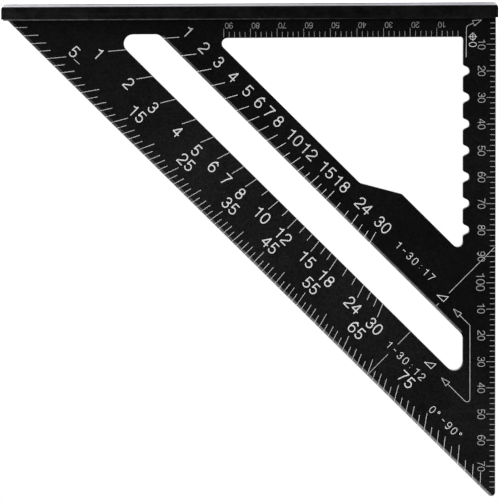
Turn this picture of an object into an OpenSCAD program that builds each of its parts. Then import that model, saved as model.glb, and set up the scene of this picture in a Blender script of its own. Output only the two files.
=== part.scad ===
// Metric speed square: a triangular plate standing in the middle of a T-shaped fence.
// Row frame: the fence's outer face lies on z = 0, the plate stands up in the XZ plane,
// and its printed face looks along -Y. Plate coordinates (px, pz) start at the pivot corner,
// where the square edge meets the fence's inner face: px runs along the fence, pz up the plate.
// The plate node starts on the root, a low land with fillets that belongs to the fence.
// The long edge and the slot lie at 45 degrees, so each is placed by its sum px + pz.

/* [Plate] */
// Length of the fence along the board
fence_len = 185; // [176:1:200]
// How far the plate's long edge stops short of the fence's end
tip_inset = 1.4; // [1:0.2:3]
// Thickness of the plate
blade_t = 3.2; // [2.4:0.2:4]
// Radius of the plate's upper tip
tip_r = 1.5; // [1:0.25:2.5]

/* [Fence] */
// Thickness of the fence
fence_t = 5.6; // [4.4:0.1:6.4]
// Full depth of the fence across both lips
fence_depth = 22; // [16:1:28]
// Rounding of the fence's outer long edges
fence_edge_r = 1.2; // [0.3:0.1:1.5]
// Rounding of the fence's outer end corners
fence_end_r = 2.2; // [0.5:0.1:3]
// Root fillet between the plate and each lip
root_r = 0.4; // [0.2:0.1:1]

/* [Openings] */
// Width of the upright leg along the square edge
leg_w = 12.2; // [11:0.1:13]
// Height of the foot band below the triangle opening
foot_h = 7.2; // [6.5:0.1:8]
// Height of the slot's lower end above the fence
slot_foot = 5.7; // [5:0.1:7]
// Width of the band that carries the degree scale, across the 45 degree direction
degree_band = 23.5; // [22:0.05:24]
// Width of the diagonal slot
slot_w = 12.8; // [12:0.05:14]
// Width of the narrow band between the slot and the triangle opening
hip_band = 13.5; // [12.5:0.1:14]
// Width of that band's upper, wider stretch
hip_band_wide = 21.7; // [18:0.1:22]
// Height at which the wider stretch begins
jog_z = 62; // [56:0.1:64]
// Slope of the step between the two stretches, from the fence's direction
jog_slope = 15; // [10:1:30]
// Corner radius of the triangle opening
opening_r = 2.1; // [1:0.1:3]
// Radius of the opening's right-angle corner
opening_square_r = 0.9; // [0.5:0.1:2]
// Corner radius of the slot
slot_r = 3.4; // [2:0.1:4]
// In-plane width of the chamfer along the long edge
edge_chamfer = 1; // [0.4:0.1:1.2]
// In-plane width of the chamfer along the slot's lower side
slot_chamfer = 0.9; // [0.4:0.1:1.2]

/* [Scribing notches] */
// Spacing of the notches along the square edge
notch_pitch = 10; // [10:1:12]
// Number of the first notch, counted from the fence
notch_first = 2; // [2:1:3]
// Number of the last notch
notch_last = 8; // [5:1:8]
// Depth of a notch
notch_d = 2.4; // [1.5:0.05:3]
// Radius of a notch's bottom
notch_r = 1.5; // [1.2:0.1:1.8]
// Radius of the shoulders at its mouth
notch_shoulder_r = 0.9; // [0.5:0.1:1.2]
// Slope of its flanks, from the leg's direction
notch_flank = 65; // [55:1:70]

/* [Graduations] */
// Thickness of the white fill above the plate
fill_t = 0.05; // [0.03:0.01:0.1]
// Line width of the millimetre scales
mm_line = 0.16; // [0.1:0.01:0.3]
// Line width of the degree scale
degree_line = 0.18; // [0.1:0.01:0.3]
// Line width of the rafter scales
rafter_line = 0.2; // [0.1:0.01:0.4]
// Line width of the pointer, the bracket and the diagonal guide
guide_line = 0.18; // [0.1:0.01:0.3]
// Stroke width of the large numerals
numeral_line = 0.42; // [0.3:0.02:0.6]
// Stroke width of the millimetre scales' numerals
small_numeral_line = 0.2; // [0.14:0.01:0.3]
// Stroke width of the signs
sign_line = 0.22; // [0.16:0.01:0.4]
// Size of the square edge's numerals, relative to the large ones
edge_numeral = 0.66; // [0.5:0.01:0.75]
// Size of the inner scale's numerals, relative to the large ones
inner_numeral = 0.5; // [0.4:0.01:0.6]
// Distance from one large digit to the next
digit_step = 3.45; // [3.2:0.05:3.8]
// The same distance in the millimetre scales' closer numerals, before they are made smaller
small_digit_step = 3.1; // [2.9:0.05:3.6]

/* [Hidden] */
diagonal = sqrt(2);
// Size of the large numerals, relative to the digits as drawn below
large_numeral = 1.03;
// Sums px + pz of the 45 degree edges
long_edge = fence_len - tip_inset;
slot_far = long_edge - degree_band * diagonal;
slot_near = slot_far - slot_w * diagonal;
hip_inner = slot_near - hip_band * diagonal;
hip_inner_wide = slot_near - hip_band_wide * diagonal;
// How far, along px or pz, the slot's corner rounding reaches into its near edge
slot_corner = 0.3 * slot_r;
jog_run = (hip_inner - hip_inner_wide) / (1 - tan(jog_slope));
// Depth of the long edge's chamfer; the slot's is as deep as it is wide
edge_chamfer_d = edge_chamfer / 2;
// Notches lie this far above the even places
notch_shift = -0.14;
// Sums at which the ticks and numerals of the sloping scales lie: ticks run over the chamfers
tick_margin = 0.1;
degree_start = long_edge - edge_chamfer * diagonal - tick_margin;
degree_ends = [long_edge - 8.2, long_edge - 4.7, long_edge - 6, long_edge - 6, long_edge - 4.7];
degree_row = long_edge - 13.15;
common_start = slot_far + 0.15;
common_long = slot_far + 7.25;
common_short = slot_far + 4.45;
common_row = slot_far + 11.75;
hip_start = slot_near - slot_chamfer * diagonal - tick_margin;
hip_long = slot_near - 6.45;
hip_short = slot_near - 4.25;
hip_row = slot_near - 11.85;
// Where the rays of the sloping scales meet, just outside the pivot corner
ray_centre = [-0.5, -0.2];
// Base runs of the two rafter scales: rise in 12, and rise in 17 for a hip or valley
common_run = 12;
hip_run = 17;
// Every rise that has a tick, then [rise, sideways place of its numeral along the row]
rises = concat([for (n = [1:17]) n], [for (n = [18:2:30]) n]);
common_labels = [[1, 0.8], [2, 1.4], [3, 1.1], [4, 2.4], [5, 2.3], [6, 2.1], [7, 0.8], [8, 1.2],
    [10, 0.1], [12, 0.8], [15, 0.7], [18, 0.7], [24, -0.2], [30, 0.2]];
hip_labels = [[1, -2.5], [2, -2.5], [3, -2.5], [4, -1.7], [5, -0.4], [6, 0.1], [7, -0.1], [8, 0.1],
    [10, 0], [12, 0.1], [15, 0.4], [18, 0.2], [24, -0.1], [30, 1]];
hip_extra_long = 9;
degree_labels = [[5, -2.1], [15, -0.7], [25, -0.7], [35, 0], [45, -0.3], [55, 0.3], [65, 1.8],
    [75, 2.6]];
degree_last = 88;
// Millimetre scales
mm_step = 2;
mm_edge_last = 178;
mm_inner_last = 90;
edge_tick_start = 0.15;
edge_tick_short = 2.1;
edge_tick_long = 3.5;
edge_row = 5.35;
inner_zero = leg_w + 0.05;
inner_tick_start = foot_h - 0.15;
inner_tick_short = 4.9;
inner_tick_long = 3.7;
inner_row = 2.6;
inner_label_shift = -1.95;
// The numeral 100 is drawn larger than its neighbours, and it and the next one lie a little lower
hundred = 100;
hundred_numeral = 1.16 * edge_numeral;
hundred_shift = [0.35, -0.35];
after_hundred_shift = [0.1, -0.3];
// Diagonal guide: its height above px at every point, and the px stretches where it is drawn
guide_rise = 86.2;
guide_stretches = [[0.35, 17.6], [21.5, (hip_start - guide_rise) / 2],
    [(common_start - guide_rise) / 2, 37], [40.7, (degree_start - guide_rise) / 2]];
// Arrowheads are open triangles
arrow_len = 3.3;
arrow_w = 2.1;
sign_size = 0.68;
sign_step = 2.9;
arc_sides = 48;
corner_steps = 8;

function point_at(c, r, a) = [c[0] + r * cos(a), c[1] + r * sin(a)];
// Points along an arc about c, from angle a0 to a1
function arc_points(c, r, a0, a1, steps = corner_steps) =
    [for (k = [0:steps]) point_at(c, r, a0 + (a1 - a0) * k / steps)];
// Points of a rounded corner at p, between its neighbours before and after
function corner(before, p, after, r) =
    let (
        u = (before - p) / norm(before - p),
        v = (after - p) / norm(after - p),
        half = acos(u * v) / 2,
        middle = (u + v) / norm(u + v),
        c = p + middle * r / sin(half),
        from = atan2(-(c - p - u * r / tan(half))[1], -(c - p - u * r / tan(half))[0]),
        to = atan2(-(c - p - v * r / tan(half))[1], -(c - p - v * r / tan(half))[0]),
        turn = to - from > 180 ? to - from - 360 : (to - from < -180 ? to - from + 360 : to - from)
    )
    arc_points(c, r, from, from + turn);
function rounded(points, radii) =
    [for (i = [0:len(points) - 1])
        let (n = len(points), before = points[(i + n - 1) % n], after = points[(i + 1) % n])
        each corner(before, points[i], after, radii[i])];

// One scribing notch in the leg's inner side, drawn from its upper shoulder down
function notch_points(z) =
    let (
        flank_len = (notch_d - (notch_r + notch_shoulder_r) * (1 - cos(notch_flank))) / sin(notch_flank),
        half_mouth = (notch_r + notch_shoulder_r) * sin(notch_flank) + flank_len * cos(notch_flank),
        shoulder_x = leg_w - notch_shoulder_r,
        bottom = [leg_w - notch_d + notch_r, z]
    )
    concat(
        arc_points([shoulder_x, z + half_mouth], notch_shoulder_r, 0, -notch_flank),
        arc_points(bottom, notch_r, 180 - notch_flank, 180 + notch_flank),
        arc_points([shoulder_x, z - half_mouth], notch_shoulder_r, notch_flank, 0));

module triangle_opening() {
    square_corner = [leg_w, foot_h];
    far_corner = [hip_inner - foot_h, foot_h];
    jog_low = [hip_inner - jog_z, jog_z];
    jog_high = [jog_low[0] - jog_run, jog_z + jog_run * tan(jog_slope)];
    top_corner = [leg_w, hip_inner_wide - leg_w];
    polygon(concat(
        corner(top_corner, square_corner, far_corner, opening_square_r),
        corner(square_corner, far_corner, jog_low, opening_r),
        corner(far_corner, jog_low, jog_high, opening_r),
        corner(jog_low, jog_high, top_corner, opening_square_r),
        corner(jog_high, top_corner, square_corner, opening_r),
        [for (k = [notch_last:-1:notch_first]) each notch_points(k * notch_pitch + notch_shift)]));
}

module slot_opening()
    polygon(rounded(
        [[slot_near - slot_foot, slot_foot], [slot_far - slot_foot, slot_foot],
            [leg_w, slot_far - leg_w], [leg_w, slot_near - leg_w]],
        [slot_r, slot_r, slot_r, slot_r]));

module plate_outline()
    difference() {
        polygon(concat([[0, root_r], [long_edge - root_r, root_r]],
            corner([long_edge, 0], [0, long_edge], [0, 0], tip_r)));
        triangle_opening();
        slot_opening();
    }

// Stands plate coordinates up in the XZ plane, extruded from y = y0 + t to y = y0
module upright(y0, t)
    translate([-fence_len / 2, y0 + t, fence_t]) rotate([90, 0, 0]) linear_extrude(t) children();

// Prisms that chamfer both faces along the 45 degree edge at the given sum: w wide in the plate's
// plane and depth deep into its thickness
module edge_prisms(sum, from_x, to_x, w, depth) {
    clear = 1;
    for (side = [-1, 1])
        translate([-fence_len / 2 + from_x, side * blade_t / 2, fence_t + sum - from_x])
            rotate([0, 45, 0])
                rotate([90, 0, 90])
                    linear_extrude((to_x - from_x) * diagonal)
                        polygon([[0, -w], [-side * depth, 0], [-side * depth, clear],
                            [side * clear, clear], [side * clear, -w]]);
}

module blade()
    color("#141416")
        difference() {
            upright(-blade_t / 2, blade_t) plate_outline();
            edge_prisms(long_edge, -1, long_edge + 1, edge_chamfer, edge_chamfer_d);
            edge_prisms(slot_near, leg_w + slot_corner, slot_near - slot_foot - slot_corner,
                slot_chamfer, slot_chamfer);
        }

// What rounds off a square corner that lies at the origin, towards the given side
module corner_relief(side, r)
    difference() {
        square(2 * r, center = true);
        translate([-side * r, r]) circle(r = r, $fn = arc_sides);
    }

module fence_section()
    difference() {
        translate([-fence_depth / 2, 0]) square([fence_depth, fence_t]);
        for (side = [-1, 1]) translate([side * fence_depth / 2, 0]) corner_relief(side, fence_edge_r);
    }

// Land as wide as the plate, with a fillet down to each lip
module root_section()
    difference() {
        translate([-blade_t / 2 - root_r, fence_t]) square([blade_t + 2 * root_r, root_r]);
        for (side = [-1, 1])
            translate([side * (blade_t / 2 + root_r), fence_t + root_r])
                circle(r = root_r, $fn = arc_sides);
    }

module end_rounding(side)
    translate([side * fence_len / 2, fence_depth / 2 + 1, 0])
        rotate([90, 0, 0])
            linear_extrude(fence_depth + 2) corner_relief(side, fence_end_r);

module fence()
    color("#18181a")
        difference() {
            translate([-fence_len / 2, 0, 0])
                rotate([90, 0, 90])
                    linear_extrude(fence_len) {
                        fence_section();
                        root_section();
                    }
            for (side = [-1, 1]) end_rounding(side);
        }

// White fill on the front face, and on the back face, where it is drawn as seen from behind
module front_fill() color("white") upright(-blade_t / 2 - fill_t, fill_t) children();
module back_fill() color("white") upright(blade_t / 2, fill_t) children();

// Straight line of width w between two points
module line(a, b, w) {
    side = [a[1] - b[1], b[0] - a[0]] * w / 2 / norm(b - a);
    polygon([a + side, a - side, b - side, b + side]);
}

// Pen strokes with round ends, in a digit's own coordinates, where $pen is the stroke's width
module pen_tip(p) translate(p) circle(r = 0.47 * $pen, $fn = 24);
module pen_line(a, b) {
    line(a, b, $pen);
    pen_tip(a);
    pen_tip(b);
}
module pen_ring(c, r)
    translate(c)
        difference() {
            circle(r = r + $pen / 2, $fn = arc_sides);
            circle(r = r - $pen / 2, $fn = arc_sides);
        }
module pen_arc(c, r, a0, a1) {
    intersection() {
        pen_ring(c, r);
        polygon(concat([c], arc_points(c, 2 * r + $pen, a0, a1)));
    }
    pen_tip(point_at(c, r, a0));
    pen_tip(point_at(c, r, a1));
}

module zero()
    for (end = [-1, 1]) {
        pen_arc([0, end], 0.98, end * 90 - 66, end * 90 + 66);
        pen_arc([-end * 2.24, 0], 3.43, (end > 0 ? 0 : 180) - 24, (end > 0 ? 0 : 180) + 24);
    }
module one() {
    pen_line([0.35, -1.95], [0.35, 1.95]);
    pen_line([0.3, 1.75], [-0.25, 1.25]);
    pen_line([-0.25, 1.25], [-0.95, 1.2]);
}
module two() {
    pen_arc([0.05, 0.8], 1.16, -35, 172);
    pen_line([1, 0.13], [-1.15, -1.55]);
    pen_line([-1.15, -1.55], [-1.2, -1.95]);
    pen_line([-1.2, -1.95], [1.2, -1.95]);
}
module three() {
    pen_arc([0.05, 0.97], 0.98, -75, 170);
    pen_line([-0.2, 0.05], [0.3, 0.02]);
    pen_arc([0, -0.83], 1.13, -165, 80);
}
module four() {
    pen_line([0.5, 1.95], [-1.35, -0.8]);
    pen_line([-1.35, -0.8], [1.3, -0.8]);
    pen_line([0.55, 1.95], [0.55, -1.95]);
}
module five() {
    pen_line([1, 1.95], [-0.8, 1.95]);
    pen_line([-0.8, 1.95], [-0.98, -0.05]);
    pen_arc([0.02, -0.78], 1.17, -155, 140);
}
module six() {
    pen_ring([0, -0.78], 1.17);
    pen_arc([1.4, 0.05], 2.6, 115, 198);
    pen_arc([0.2, 1], 0.96, 35, 125);
}
module seven() {
    pen_line([-1.25, 1.95], [1.25, 1.95]);
    pen_line([1.25, 1.95], [0.25, 0.2]);
    pen_line([0.25, 0.2], [-0.45, -1.95]);
}
module eight() {
    pen_ring([0, 0.97], 0.98);
    pen_ring([0, -0.83], 1.13);
}
module digit(n) {
    if (n == 0) zero();
    if (n == 1) one();
    if (n == 2) two();
    if (n == 3) three();
    if (n == 4) four();
    if (n == 5) five();
    if (n == 6) six();
    if (n == 7) seven();
    if (n == 8) eight();
    if (n == 9) rotate(180) six();
}

function digits_of(n) = n < 10 ? [n] : concat(digits_of(floor(n / 10)), [n % 10]);
// A whole number centred on a point, turned to its reading direction
module number(n, place, turn, size = large_numeral, step = digit_step, pen = numeral_line) {
    digits = digits_of(n);
    last = len(digits) - 1;
    $pen = pen / size;
    translate(place)
        rotate(turn)
            scale([size, size])
                for (i = [0:last])
                    translate([(i - last / 2) * step, 0]) digit(digits[i]);
}

// Point where the ray of a given slope crosses the 45 degree line of a given sum
function ray_point(slope, sum) =
    ray_centre + (sum - ray_centre[0] - ray_centre[1]) / (1 + slope) * [1, slope];
// That point moved along the 45 degree row, up and away from the fence for positive nudges
function row_point(slope, sum, nudge) = ray_point(slope, sum) + nudge * [-1, 1] / diagonal;
module ray_tick(slope, from, to, w) line(ray_point(slope, from), ray_point(slope, to), w);
// The rest of a ray's tick, on the front chamfer of the edge at the given sum, which is w wide and
// depth deep. It is drawn in the chamfer's own plane: first along the inner border, then across it.
function on_chamfer(p, border, stretch) =
    [p[0] - p[1] + border, (p[0] + p[1] - border) * stretch] / diagonal;
module chamfer_tick(slope, sum, w, depth, line_w) {
    border = sum - w * diagonal;
    stretch = norm([w, depth]) / w;
    ends = [for (at = [border + tick_margin, sum - tick_margin]) ray_point(slope, at)];
    color("white")
        translate([-fence_len / 2, -blade_t / 2, fence_t + border])
            rotate([0, 45, 0])
                rotate([90, 0, 90])
                    rotate([0, 0, -atan2(depth, w)])
                        rotate([0, -90, 0])
                            linear_extrude(fill_t)
                                line(on_chamfer(ends[0], border, stretch),
                                    on_chamfer(ends[1], border, stretch), line_w);
}
module row_number(slope, row, n, nudge) number(n, row_point(slope, row, nudge), 135);
function is_labelled(n, labels) = len([for (entry = labels) if (entry[0] == n) n]) > 0;

module edge_ticks()
    for (z = [mm_step:mm_step:mm_edge_last])
        line([edge_tick_start, z], [z % 10 == 0 ? edge_tick_long : edge_tick_short, z], mm_line);
function edge_label_place(z) =
    [edge_row, z] + (z == hundred ? hundred_shift : (z == hundred + 10 ? after_hundred_shift : [0, 0]));
// The scale runs 10 to 100, and then counts its tens from 10 again
module edge_numbers(turn)
    for (z = [10:10:mm_edge_last])
        number(z > hundred ? z - hundred : z, edge_label_place(z), turn,
            z == hundred ? hundred_numeral : edge_numeral, small_digit_step, small_numeral_line);
module inner_ticks()
    for (x = [mm_step:mm_step:mm_inner_last])
        line([inner_zero + x, inner_tick_start],
            [inner_zero + x, x % 10 == 0 ? inner_tick_long : inner_tick_short], mm_line);
module inner_numbers()
    for (x = [10:10:mm_inner_last])
        number(x, [inner_zero + x + inner_label_shift, inner_row], 0, inner_numeral, small_digit_step,
            small_numeral_line);
module degree_rays()
    for (a = [1:degree_last])
        ray_tick(tan(a), degree_start, degree_ends[a % 5], degree_line);
module degree_numbers()
    for (entry = degree_labels)
        row_number(tan(entry[0]), degree_row, entry[0], entry[1]);
// Short dash on the base line after the single 5
module five_dash() {
    place = row_point(tan(degree_labels[0][0]), degree_row, degree_labels[0][1]);
    translate(place) rotate(135) line([1.9, -2.1], [4.6, -1.95], guide_line);
}

module edge_scale_ticks() front_fill() edge_ticks();
module edge_scale_numerals() front_fill() edge_numbers(90);
module inner_scale_ticks() front_fill() inner_ticks();
module inner_scale_numerals() front_fill() inner_numbers();
module degree_chamfer_rays()
    for (a = [1:degree_last])
        chamfer_tick(tan(a), long_edge, edge_chamfer, edge_chamfer_d, degree_line);
module degree_ticks() {
    front_fill() degree_rays();
    degree_chamfer_rays();
}
module degree_numerals()
    front_fill() {
        degree_numbers();
        five_dash();
    }
module common_ticks()
    front_fill()
        for (n = rises)
            ray_tick(n / common_run, common_start,
                is_labelled(n, common_labels) ? common_long : common_short, rafter_line);
module common_numerals()
    front_fill()
        for (entry = common_labels)
            row_number(entry[0] / common_run, common_row, entry[0], entry[1]);
module hip_ticks() {
    front_fill()
        for (n = rises)
            ray_tick(n / hip_run, hip_start,
                is_labelled(n, hip_labels) || n == hip_extra_long ? hip_long : hip_short, rafter_line);
    for (n = rises) chamfer_tick(n / hip_run, slot_near, slot_chamfer, slot_chamfer, rafter_line);
}
module hip_numerals()
    front_fill()
        for (entry = hip_labels)
            row_number(entry[0] / hip_run, hip_row, entry[0], entry[1]);

// Even line of width w along a smooth run of points
function side_points(points, d) =
    [for (i = [0:len(points) - 1])
        let (
            along = points[min(i + 1, len(points) - 1)] - points[max(i - 1, 0)],
            out = [-along[1], along[0]] / norm(along)
        )
        points[i] + out * d];
module track(points, w) {
    left = side_points(points, w / 2);
    right = side_points(points, -w / 2);
    polygon(concat(left, [for (i = [len(right) - 1:-1:0]) right[i]]));
}

// Open arrowhead pointing at tip, in direction turn
module arrow_head(tip, turn)
    translate(tip)
        rotate(turn) {
            corners = [[0, 0], [-arrow_len, arrow_w / 2], [-arrow_len, -arrow_w / 2]];
            for (i = [0:2]) {
                line(corners[i], corners[(i + 1) % 3], guide_line);
                translate(corners[i]) circle(r = 0.47 * guide_line, $fn = 24);
            }
        }

module pivot_pointer() {
    top = [11.2, 14.8];
    bend = [11.1, 3.15];
    tip = [5.4, 0.85];
    turn = atan2(tip[1] - bend[1], tip[0] - bend[0]);
    base = tip - arrow_len * [cos(turn), sin(turn)];
    front_fill() {
        track(concat([top], corner(top, bend, base, 1.2), [base]), guide_line);
        arrow_head(tip, turn);
    }
}

module top_cut_bracket() {
    bracket_x = 9.65;
    common_tip = [20.4, 136.1];
    hip_tip = [15.9, 109.9];
    common_base = common_tip + arrow_len * [-1, 1] / diagonal;
    hip_base = hip_tip + arrow_len * [-1, 1] / diagonal;
    high = [bracket_x, common_tip[0] + common_tip[1] - bracket_x];
    low = [bracket_x, hip_tip[0] + hip_tip[1] - bracket_x];
    front_fill() {
        track(concat([common_base], corner(common_base, high, low, 1.1),
            corner(high, low, hip_base, 0.5), [hip_base]), guide_line);
        arrow_head(common_tip, -45);
        arrow_head(hip_tip, -45);
    }
}

module diagonal_guide()
    front_fill()
        for (stretch = guide_stretches)
            line([stretch[0], stretch[0] + guide_rise], [stretch[1], stretch[1] + guide_rise],
                guide_line);

// Plain signs, drawn with the numerals' pen about the middle of a digit's place
module minus_sign() pen_line([-0.8, 0], [0.8, 0]);
module degree_sign() pen_ring([-0.5, 1.4], 0.55);
module ratio_sign() {
    pen_tip([0, 0.9]);
    pen_tip([0, -1.1]);
}
module target_sign() {
    pen_ring([0, 0], 1.6);
    pen_line([-2.3, 0], [2.3, 0]);
    pen_line([0, -2.3], [0, 2.3]);
}
module slope_sign() {
    corners = [[-2.6, -1.9], [2.6, -1.9], [2.6, 1.9]];
    for (i = [0:2]) pen_line(corners[i], corners[(i + 1) % 3]);
}
// A row of digits and signs: digits as numbers, signs by the names used here
module sign_row(row, place, turn)
    translate(place)
        rotate(turn)
            for (i = [0:len(row) - 1])
                translate([(i - (len(row) - 1) / 2) * sign_step, 0])
                    scale([sign_size, sign_size]) {
                        $pen = sign_line / sign_size;
                        if (is_num(row[i])) digit(row[i]);
                        if (row[i] == "-") minus_sign();
                        if (row[i] == "o") degree_sign();
                        if (row[i] == ":") ratio_sign();
                        if (row[i] == "+") target_sign();
                        if (row[i] == "/") slope_sign();
                    }

module scale_signs()
    front_fill() {
        sign_row([0, "o", "-", 9, 0, "o"], [18.7, 153.3], 135);
        sign_row([1, "-", 3, 0, ":", 1, 2], [34, 129.5], 135);
        sign_row([1, "-", 3, 0, ":", 1, 7], [30.4, 91.7], 135);
        sign_row(["/"], [20, 104.9], 135);
        sign_row(["/"], [24.7, 130.4], 135);
        sign_row(["+", 0], [8.7, 8.6], 90);
    }

// The back face repeats the edge and degree scales, turned to read from behind
module back_number(n, place, turn, size = large_numeral, step = digit_step, pen = numeral_line)
    translate(place) mirror([1, 0]) number(n, [0, 0], turn, size, step, pen);
module back_edge_ticks() back_fill() edge_ticks();
module back_edge_numerals()
    back_fill()
        for (z = [10:10:mm_edge_last])
            back_number(z, [edge_row + (z < hundred ? 0 : 1), z], 90, edge_numeral, small_digit_step,
                small_numeral_line);
module back_degree_ticks() {
    back_fill() degree_rays();
    mirror([0, 1, 0]) degree_chamfer_rays();
}
module back_degree_numerals()
    back_fill()
        for (entry = degree_labels)
            back_number(entry[0], row_point(tan(entry[0]), degree_row, 0), 225);

blade();
fence();
edge_scale_ticks();
edge_scale_numerals();
inner_scale_ticks();
inner_scale_numerals();
degree_ticks();
degree_numerals();
common_ticks();
common_numerals();
hip_ticks();
hip_numerals();
pivot_pointer();
top_cut_bracket();
diagonal_guide();
scale_signs();
back_edge_ticks();
back_edge_numerals();
back_degree_ticks();
back_degree_numerals();
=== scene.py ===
"""Looks for the metric speed square: anodised finish, white print, floor, lights and camera.

The square stands on its fence, and the camera is rolled half a turn, so that the fence comes
uppermost in the picture. Everything is in metres, in the part's own frame: X along the fence, Z up
the plate, Y across it. Levels are shares of the light that a surface gives back.
"""

import math

import bpy
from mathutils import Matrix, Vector

# The two anodised pieces. level: their faces. mottled: how uneven dye and gloss are, from 0 to 1.
# die_lines: the lines that the extrusion left. inner_wear_and_highlight and outer_wear_and_highlight:
# the lighter colour of chamfers and arrises, next to the face and on their outer side, partly wear
# and partly a painted highlight. highlight_range: the two places along highlight_axis between which
# that painted highlight grows, and its share at each. edge_gloss: the specular level of chamfers and
# arrises.
# rounding_sheen: a painted sheen on the rounding along the outer edges
ANODISED = {
    "blade": dict(level=0.0055, mottled=0.07, die_lines=0.002, inner_wear_and_highlight=0.05, outer_wear_and_highlight=0.2,
                  highlight_axis="Z", highlight_range=((0.0, 0.16), (0.15, 1.0)), edge_gloss=0.2, rounding_sheen=0.0),
    "fence": dict(level=0.015, mottled=0.3, die_lines=0.003, inner_wear_and_highlight=0.085, outer_wear_and_highlight=0.085,
                  highlight_axis="X", highlight_range=((-0.05, 0.09), (0.0, 1.0)), edge_gloss=0.05, rounding_sheen=0.62),
}
# Specular level and roughness of the faces, what chamfers add to the roughness, and the tint
FACE_GLOSS = 0.06
FACE_ROUGHNESS = (0.21, 0.28)
EDGE_ROUGHNESS = 0.06
BLUE_TINT = 1.05
# Width of the small rounding along every arris, and the smallest angle that counts as one, in degrees
ARRIS_WIDTH = {"blade": 0.00012, "fence": 0.00015}
ARRIS_ANGLE = 24
# Points closer than this are one, and neighbouring facets flatter than this, in degrees, are one face
WELD_DISTANCE = 0.000002
FLAT_ANGLE = 0.5

# Patterns in the finishes, in waves to the metre
CLOUD_WAVES = 38.0
MOTTLE_WAVES = 220.0
NICK_WAVES = 420.0
COVER_WAVES = 900.0
GRAIN_WAVES = 1500.0
DIE_LINE_WAVES = (6, 900, 900)
# Most of a noise's values lie between the first two, and nearly all between the others
MOST = (0.35, 0.65)
NEARLY_ALL = (0.3, 0.7)
# Specks of dust: cells to the metre, the share of the cells left empty, the speck's radius in a
# cell and where it has faded out, and its level
DUST_CELLS = 95.0
DUST_EMPTY = 0.93
DUST_RADIUS = (0.018, 0.034)
DUST_LEVEL = 0.05
# Depth and strength of the relief in the metal and in the print
METAL_RELIEF = {"strength": 0.12, "distance": 0.00003}
PRINT_RELIEF = {"strength": 0.1, "distance": 0.00002}

# The white print, by a piece of the node's name: the first that fits applies, and the empty one fits
# every node. The thinner a printed line is, the less white it is
PRINT_LEVELS = {
    "edge_scale": 0.36, "inner_scale": 0.33, "back_edge": 0.36,
    "diagonal_guide": 0.48, "top_cut_bracket": 0.5,
    "degree_ticks": 0.55, "common_ticks": 0.54, "hip_ticks": 0.66,
    "scale_signs": 0.66, "hip_numerals": 0.56, "": 0.6,
}

# Area lights: place, point aimed at, diameter, watts
AREA_LIGHTS = {
    "key": ((0.5, -0.75, 1.15), (-0.05, 0, 0.12), 0.4, 4.0),
    "rim": ((1.0, -0.05, 1.05), (0, 0, 0.09), 0.5, 3.0),
    "front_left": ((-0.8, -1.0, 0.5), (0, 0, 0.09), 1.0, 2.0),
    "front_right": ((0.85, -1.1, 0.4), (0, 0, 0.09), 0.8, 1.5),
    "rear": ((-0.5, 0.9, 0.7), (0, 0, 0.08), 0.5, 6.0),
}
OVERHEAD_STRENGTH = 3.9
OVERHEAD_SPREAD = 70  # degrees
# The world is white behind everything, and dim where the metal mirrors it
WORLD_SEEN = 1.0
WORLD_MIRRORED = 0.12

FLOOR_LEVEL = 0.82
FLOOR_SIZE = 60

# The camera's lens and sensor are in millimetres
CAMERA_PLACE = (0.0136, -1.0689, 0.012)
CAMERA_DEGREES = (-94.321, -0.2699, -179.2657)
CAMERA_LENS = 204.15
CAMERA_SENSOR = 36


class Shade:
    """A node material with a Principled shader, and short helpers that add nodes to it."""

    def __init__(self, name):
        self.material = bpy.data.materials.new(name)
        self.material.use_nodes = True
        self.tree = self.material.node_tree
        self.shader = self.tree.nodes["Principled BSDF"]

    def put(self, socket, value):
        """Links a node's output to a socket, or sets the socket to a plain value."""
        if isinstance(value, bpy.types.NodeSocket):
            self.tree.links.new(value, socket)
        else:
            socket.default_value = value

    def look(self, **inputs):
        """Sets the shader's own inputs; an underscore stands for a space in their names."""
        for name, value in inputs.items():
            self.put(self.shader.inputs[name.replace("_", " ")], value)

    def add(self, kind, inputs=(), **settings):
        node = self.tree.nodes.new("ShaderNode" + kind)
        for key, value in settings.items():
            setattr(node, key, value)
        for key, value in dict(inputs).items():
            self.put(node.inputs[key], value)
        return node

    def math(self, operation, a, b=0.0):
        return self.add("Math", {0: a, 1: b}, operation=operation).outputs[0]

    def total(self, first, *others):
        for other in others:
            first = self.math("ADD", first, other)
        return first

    def product(self, first, *others):
        for other in others:
            first = self.math("MULTIPLY", first, other)
        return first

    def remap(self, value, source, target):
        """Runs from target's first value to its second as value runs over source, and stays there."""
        inputs = {"Value": value, "From Min": source[0], "From Max": source[1]}
        inputs.update({"To Min": target[0], "To Max": target[1]})
        return self.add("MapRange", inputs).outputs["Result"]

    def place(self):
        """The point's place on the object, in metres."""
        return self.add("TexCoord").outputs["Object"]

    def split(self, vector):
        return self.add("SeparateXYZ", {0: vector}).outputs

    def noise(self, scale, detail, stretch=(1, 1, 1)):
        """Noise with about scale waves to the metre, times stretch along each axis."""
        vector = self.add("Mapping", {"Vector": self.place(), "Scale": stretch}).outputs["Vector"]
        return self.add("TexNoise", {"Vector": vector, "Scale": scale, "Detail": detail}).outputs[0]

    def grey(self, level, blue=1.0):
        colour = {"Red": level, "Green": level, "Blue": self.product(level, blue)}
        return self.add("CombineColor", colour).outputs[0]

    def bump(self, height, strength, distance):
        inputs = {"Strength": strength, "Distance": distance, "Height": height}
        return self.add("Bump", inputs).outputs[0]


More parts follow.
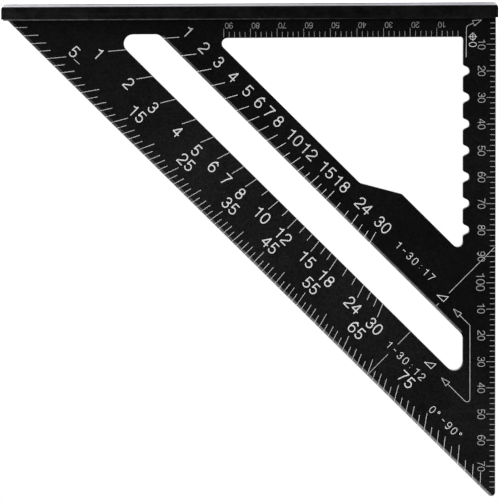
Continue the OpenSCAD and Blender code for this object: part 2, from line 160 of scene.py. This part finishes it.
def face_tone_and_painted_shade(shade, place, level, clouds, uneven, grain):
    """Painted shade: the faces are darker near the fence, where it shades them; they are also darker
    towards the pivot corner than by the long edge.
    """
    above_fence, across_slot = (0.004, 0.05), (0.045, 0.065)
    # painted shade: the colour falls to a fifth of its level just above the fence
    painted_fence_shade = shade.remap(place["Z"], above_fence, (0.2, 1.0))
    outward = shade.remap(shade.total(place["X"], place["Z"]), across_slot, (0.5, 1.08))
    cloudy = shade.remap(clouds, MOST, (0.8, 1.25))
    grainy = shade.remap(grain, NEARLY_ALL, (0.6, 1.4))
    return shade.product(painted_fence_shade, outward, level, cloudy, uneven, grainy)


def dust_specks(shade):
    """A light speck in the middle of a few cells of a Voronoi pattern."""
    inputs = {"Vector": shade.place(), "Scale": DUST_CELLS}
    cells = shade.add("TexVoronoi", inputs, feature="F1").outputs
    chance = shade.add("SeparateColor", {0: cells["Color"]}).outputs[0]
    rare = shade.math("GREATER_THAN", chance, DUST_EMPTY)
    near = shade.remap(cells["Distance"], DUST_RADIUS, (1.0, 0.0))
    return shade.product(rare, near, DUST_LEVEL)


def edge_mask(shade, facing):
    """One on chamfers and arrises, which face partly sideways, and zero on faces and cut sides."""
    nearly_face, nearly_side = (0.9, 0.98), (0.2, 0.4)
    across = shade.math("ABSOLUTE", facing["Y"])
    off_face = shade.remap(across, nearly_face, (1.0, 0.0))
    off_side = shade.remap(across, nearly_side, (0.0, 1.0))
    return shade.product(off_face, off_side)


def edge_wear_and_highlight(shade, place, inner_wear_and_highlight, outer_wear_and_highlight, highlight_axis, highlight_range):
    """The metal cut there has taken less dye, mostly on its outer side, and unevenly; the lighter
    colour is also a painted highlight, which grows along one axis.
    """
    face_to_outer_side = (0.0016, 0.0008)
    depth = shade.math("ABSOLUTE", place["Y"])
    outward = shade.remap(depth, face_to_outer_side, (inner_wear_and_highlight, outer_wear_and_highlight))
    nicks = shade.remap(shade.noise(NICK_WAVES, 3.0), MOST, (0.55, 1.45))
    # painted highlight: the lighter edge colour grows towards one end along the axis
    return shade.product(outward, nicks, shade.remap(place[highlight_axis], *highlight_range))


def painted_sheen_on_rounding(shade, facing, level, clouds):
    """Painted sheen: the rounding along the outer edges is painted bright, like a reflection; the
    outer face and the ends are not.
    """
    leaning_out, nearly_face, nearly_end = (-0.2, -0.45), (-0.97, -0.995), (0.45, 0.75)
    outward = shade.remap(facing["Z"], leaning_out, (0.0, level))
    off_face = shade.remap(facing["Z"], nearly_face, (1.0, 0.0))
    off_end = shade.remap(shade.math("ABSOLUTE", facing["X"]), nearly_end, (1.0, 0.0))
    uneven = shade.remap(clouds, NEARLY_ALL, (0.85, 1.1))
    return shade.product(outward, off_face, off_end, uneven)


def anodised(name, level, mottled, die_lines, inner_wear_and_highlight, outer_wear_and_highlight, highlight_axis, highlight_range,
             edge_gloss, rounding_sheen):
    """Black anodised aluminium: cloudy dye, fine grain, faint lines along the extrusion, dust, painted
    shade near the fence, and painted highlights on the edges.
    """
    shade = Shade(name)
    place = shade.split(shade.place())
    facing = shade.split(shade.add("TexCoord").outputs["Normal"])
    clouds = shade.noise(CLOUD_WAVES, 5.0)
    grain = shade.noise(GRAIN_WAVES, 2.0)
    lines = shade.noise(1.0, 3.0, stretch=DIE_LINE_WAVES)
    uneven = shade.remap(shade.noise(MOTTLE_WAVES, 3.0), MOST, (1 - mottled, 1 + mottled))
    edge = edge_mask(shade, facing)

    # the faces' own uneven tone, with painted shade near the fence
    level = face_tone_and_painted_shade(shade, place, level, clouds, uneven, grain)
    few_lines = shade.remap(lines, (0.64, 0.74), (0.0, 1.0))
    level = shade.total(level, shade.product(few_lines, die_lines), dust_specks(shade))
    # chamfers and arrises: lighter colour, partly wear and partly a painted highlight
    wear_and_highlight = edge_wear_and_highlight(shade, place, inner_wear_and_highlight, outer_wear_and_highlight, highlight_axis, highlight_range)
    level = shade.total(level, shade.product(edge, wear_and_highlight))
    # painted sheen on the rounding along the outer edges
    if rounding_sheen:
        level = shade.total(level, painted_sheen_on_rounding(shade, facing, rounding_sheen, clouds))

    roughness = shade.remap(clouds, NEARLY_ALL, FACE_ROUGHNESS)
    gloss = shade.remap(edge, (0.0, 1.0), (FACE_GLOSS, edge_gloss))
    sparkle = shade.remap(grain, NEARLY_ALL, (0.7, 1.3))
    relief = shade.total(grain, shade.product(lines, 0.6))
    shade.look(
        Base_Color=shade.grey(level, blue=BLUE_TINT),
        Roughness=shade.total(roughness, shade.product(edge, EDGE_ROUGHNESS)),
        Specular_IOR_Level=shade.product(gloss, uneven, sparkle),
        Normal=shade.bump(relief, **METAL_RELIEF),
    )
    return shade.material


def white_print(name, level):
    """White printed paint, a little uneven in cover."""
    shade = Shade(name)
    cover = shade.noise(COVER_WAVES, 2.0)
    level = shade.product(shade.remap(cover, NEARLY_ALL, (0.9, 1.05)), level)
    relief = shade.bump(cover, **PRINT_RELIEF)
    shade.look(Base_Color=shade.grey(level), Roughness=0.6, Normal=relief)
    return shade.material


def plain(name, level):
    """A matt grey, for the floor."""
    shade = Shade(name)
    shade.look(Base_Color=(level, level, level, 1), Roughness=0.9, Specular_IOR_Level=0.1)
    return shade.material


def assign(obj, material):
    obj.data.materials.clear()
    obj.data.materials.append(material)


def soften_edges(obj, width):
    """Small rounded arrises, as on deburred metal."""
    weld = obj.modifiers.new("weld", "WELD")
    weld.merge_threshold = WELD_DISTANCE
    flat = obj.modifiers.new("flat", "DECIMATE")
    flat.decimate_type = "DISSOLVE"
    flat.angle_limit = math.radians(FLAT_ANGLE)
    arris = obj.modifiers.new("arris", "BEVEL")
    arris.width = width
    arris.segments = 2
    arris.limit_method = "ANGLE"
    arris.angle_limit = math.radians(ARRIS_ANGLE)
    arris.harden_normals = False
    arris.use_clamp_overlap = True


def add_object(name, data):
    obj = bpy.data.objects.new(name, data)
    bpy.context.collection.objects.link(obj)
    return obj


def area_light(name, place, target, size, power):
    data = bpy.data.lights.new(name, "AREA")
    data.shape = "DISK"
    data.size = size
    data.energy = power
    light = add_object(name, data)
    light.location = place
    direction = Vector(target) - Vector(place)
    light.rotation_euler = direction.to_track_quat("-Z", "Y").to_euler()


def overhead_light():
    """Wide and even, so that the pale floor stays white out to the horizon."""
    data = bpy.data.lights.new("overhead", "SUN")
    data.energy = OVERHEAD_STRENGTH
    data.angle = math.radians(OVERHEAD_SPREAD)
    add_object("overhead", data)


def studio_world():
    """A backdrop that is white to the camera and dim to everything else."""
    world = bpy.data.worlds.new("studio")
    bpy.context.scene.world = world
    world.use_nodes = True
    tree = world.node_tree
    tree.nodes.clear()
    out = tree.nodes.new("ShaderNodeOutputWorld")
    mix = tree.nodes.new("ShaderNodeMixShader")
    path = tree.nodes.new("ShaderNodeLightPath")
    tree.links.new(path.outputs["Is Camera Ray"], mix.inputs[0])
    for socket, strength in ((1, WORLD_MIRRORED), (2, WORLD_SEEN)):
        background = tree.nodes.new("ShaderNodeBackground")
        background.inputs["Color"].default_value = (1, 1, 1, 1)
        background.inputs["Strength"].default_value = strength
        tree.links.new(background.outputs[0], mix.inputs[socket])
    tree.links.new(mix.outputs[0], out.inputs[0])


def pale_floor():
    bpy.ops.mesh.primitive_plane_add(size=1, location=(0, 0, 0))
    floor = bpy.context.object
    floor.name = "floor"
    floor.scale = (FLOOR_SIZE, FLOOR_SIZE, 1)
    assign(floor, plain("floor_pale", FLOOR_LEVEL))
    return floor


def front_camera():
    """Low in front of the plate, looking at its printed face, and rolled half a turn."""
    lens = bpy.data.cameras.new("camera")
    lens.sensor_width = CAMERA_SENSOR
    lens.lens = CAMERA_LENS
    camera = add_object("camera", lens)
    camera.location = CAMERA_PLACE
    camera.rotation_euler = [math.radians(angle) for angle in CAMERA_DEGREES]
    return camera


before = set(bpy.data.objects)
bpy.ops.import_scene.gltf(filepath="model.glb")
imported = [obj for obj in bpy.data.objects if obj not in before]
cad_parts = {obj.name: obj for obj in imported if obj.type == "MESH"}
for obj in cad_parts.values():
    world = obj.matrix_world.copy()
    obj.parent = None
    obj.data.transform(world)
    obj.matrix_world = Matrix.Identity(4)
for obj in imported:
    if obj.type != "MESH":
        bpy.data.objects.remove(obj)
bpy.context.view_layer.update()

prints = {part: white_print("white_print_" + (part or "numerals"), level)
          for part, level in PRINT_LEVELS.items()}
for name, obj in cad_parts.items():
    if name in ANODISED:
        assign(obj, anodised(name + "_anodised_black", **ANODISED[name]))
        soften_edges(obj, ARRIS_WIDTH[name])
    else:
        assign(obj, next(prints[part] for part in PRINT_LEVELS if part in name))

floor = pale_floor()
studio_world()
overhead_light()
for name, settings in AREA_LIGHTS.items():
    area_light(name, *settings)
bpy.context.scene.camera = front_camera()
bpy.context.scene.view_settings.view_transform = "Standard"
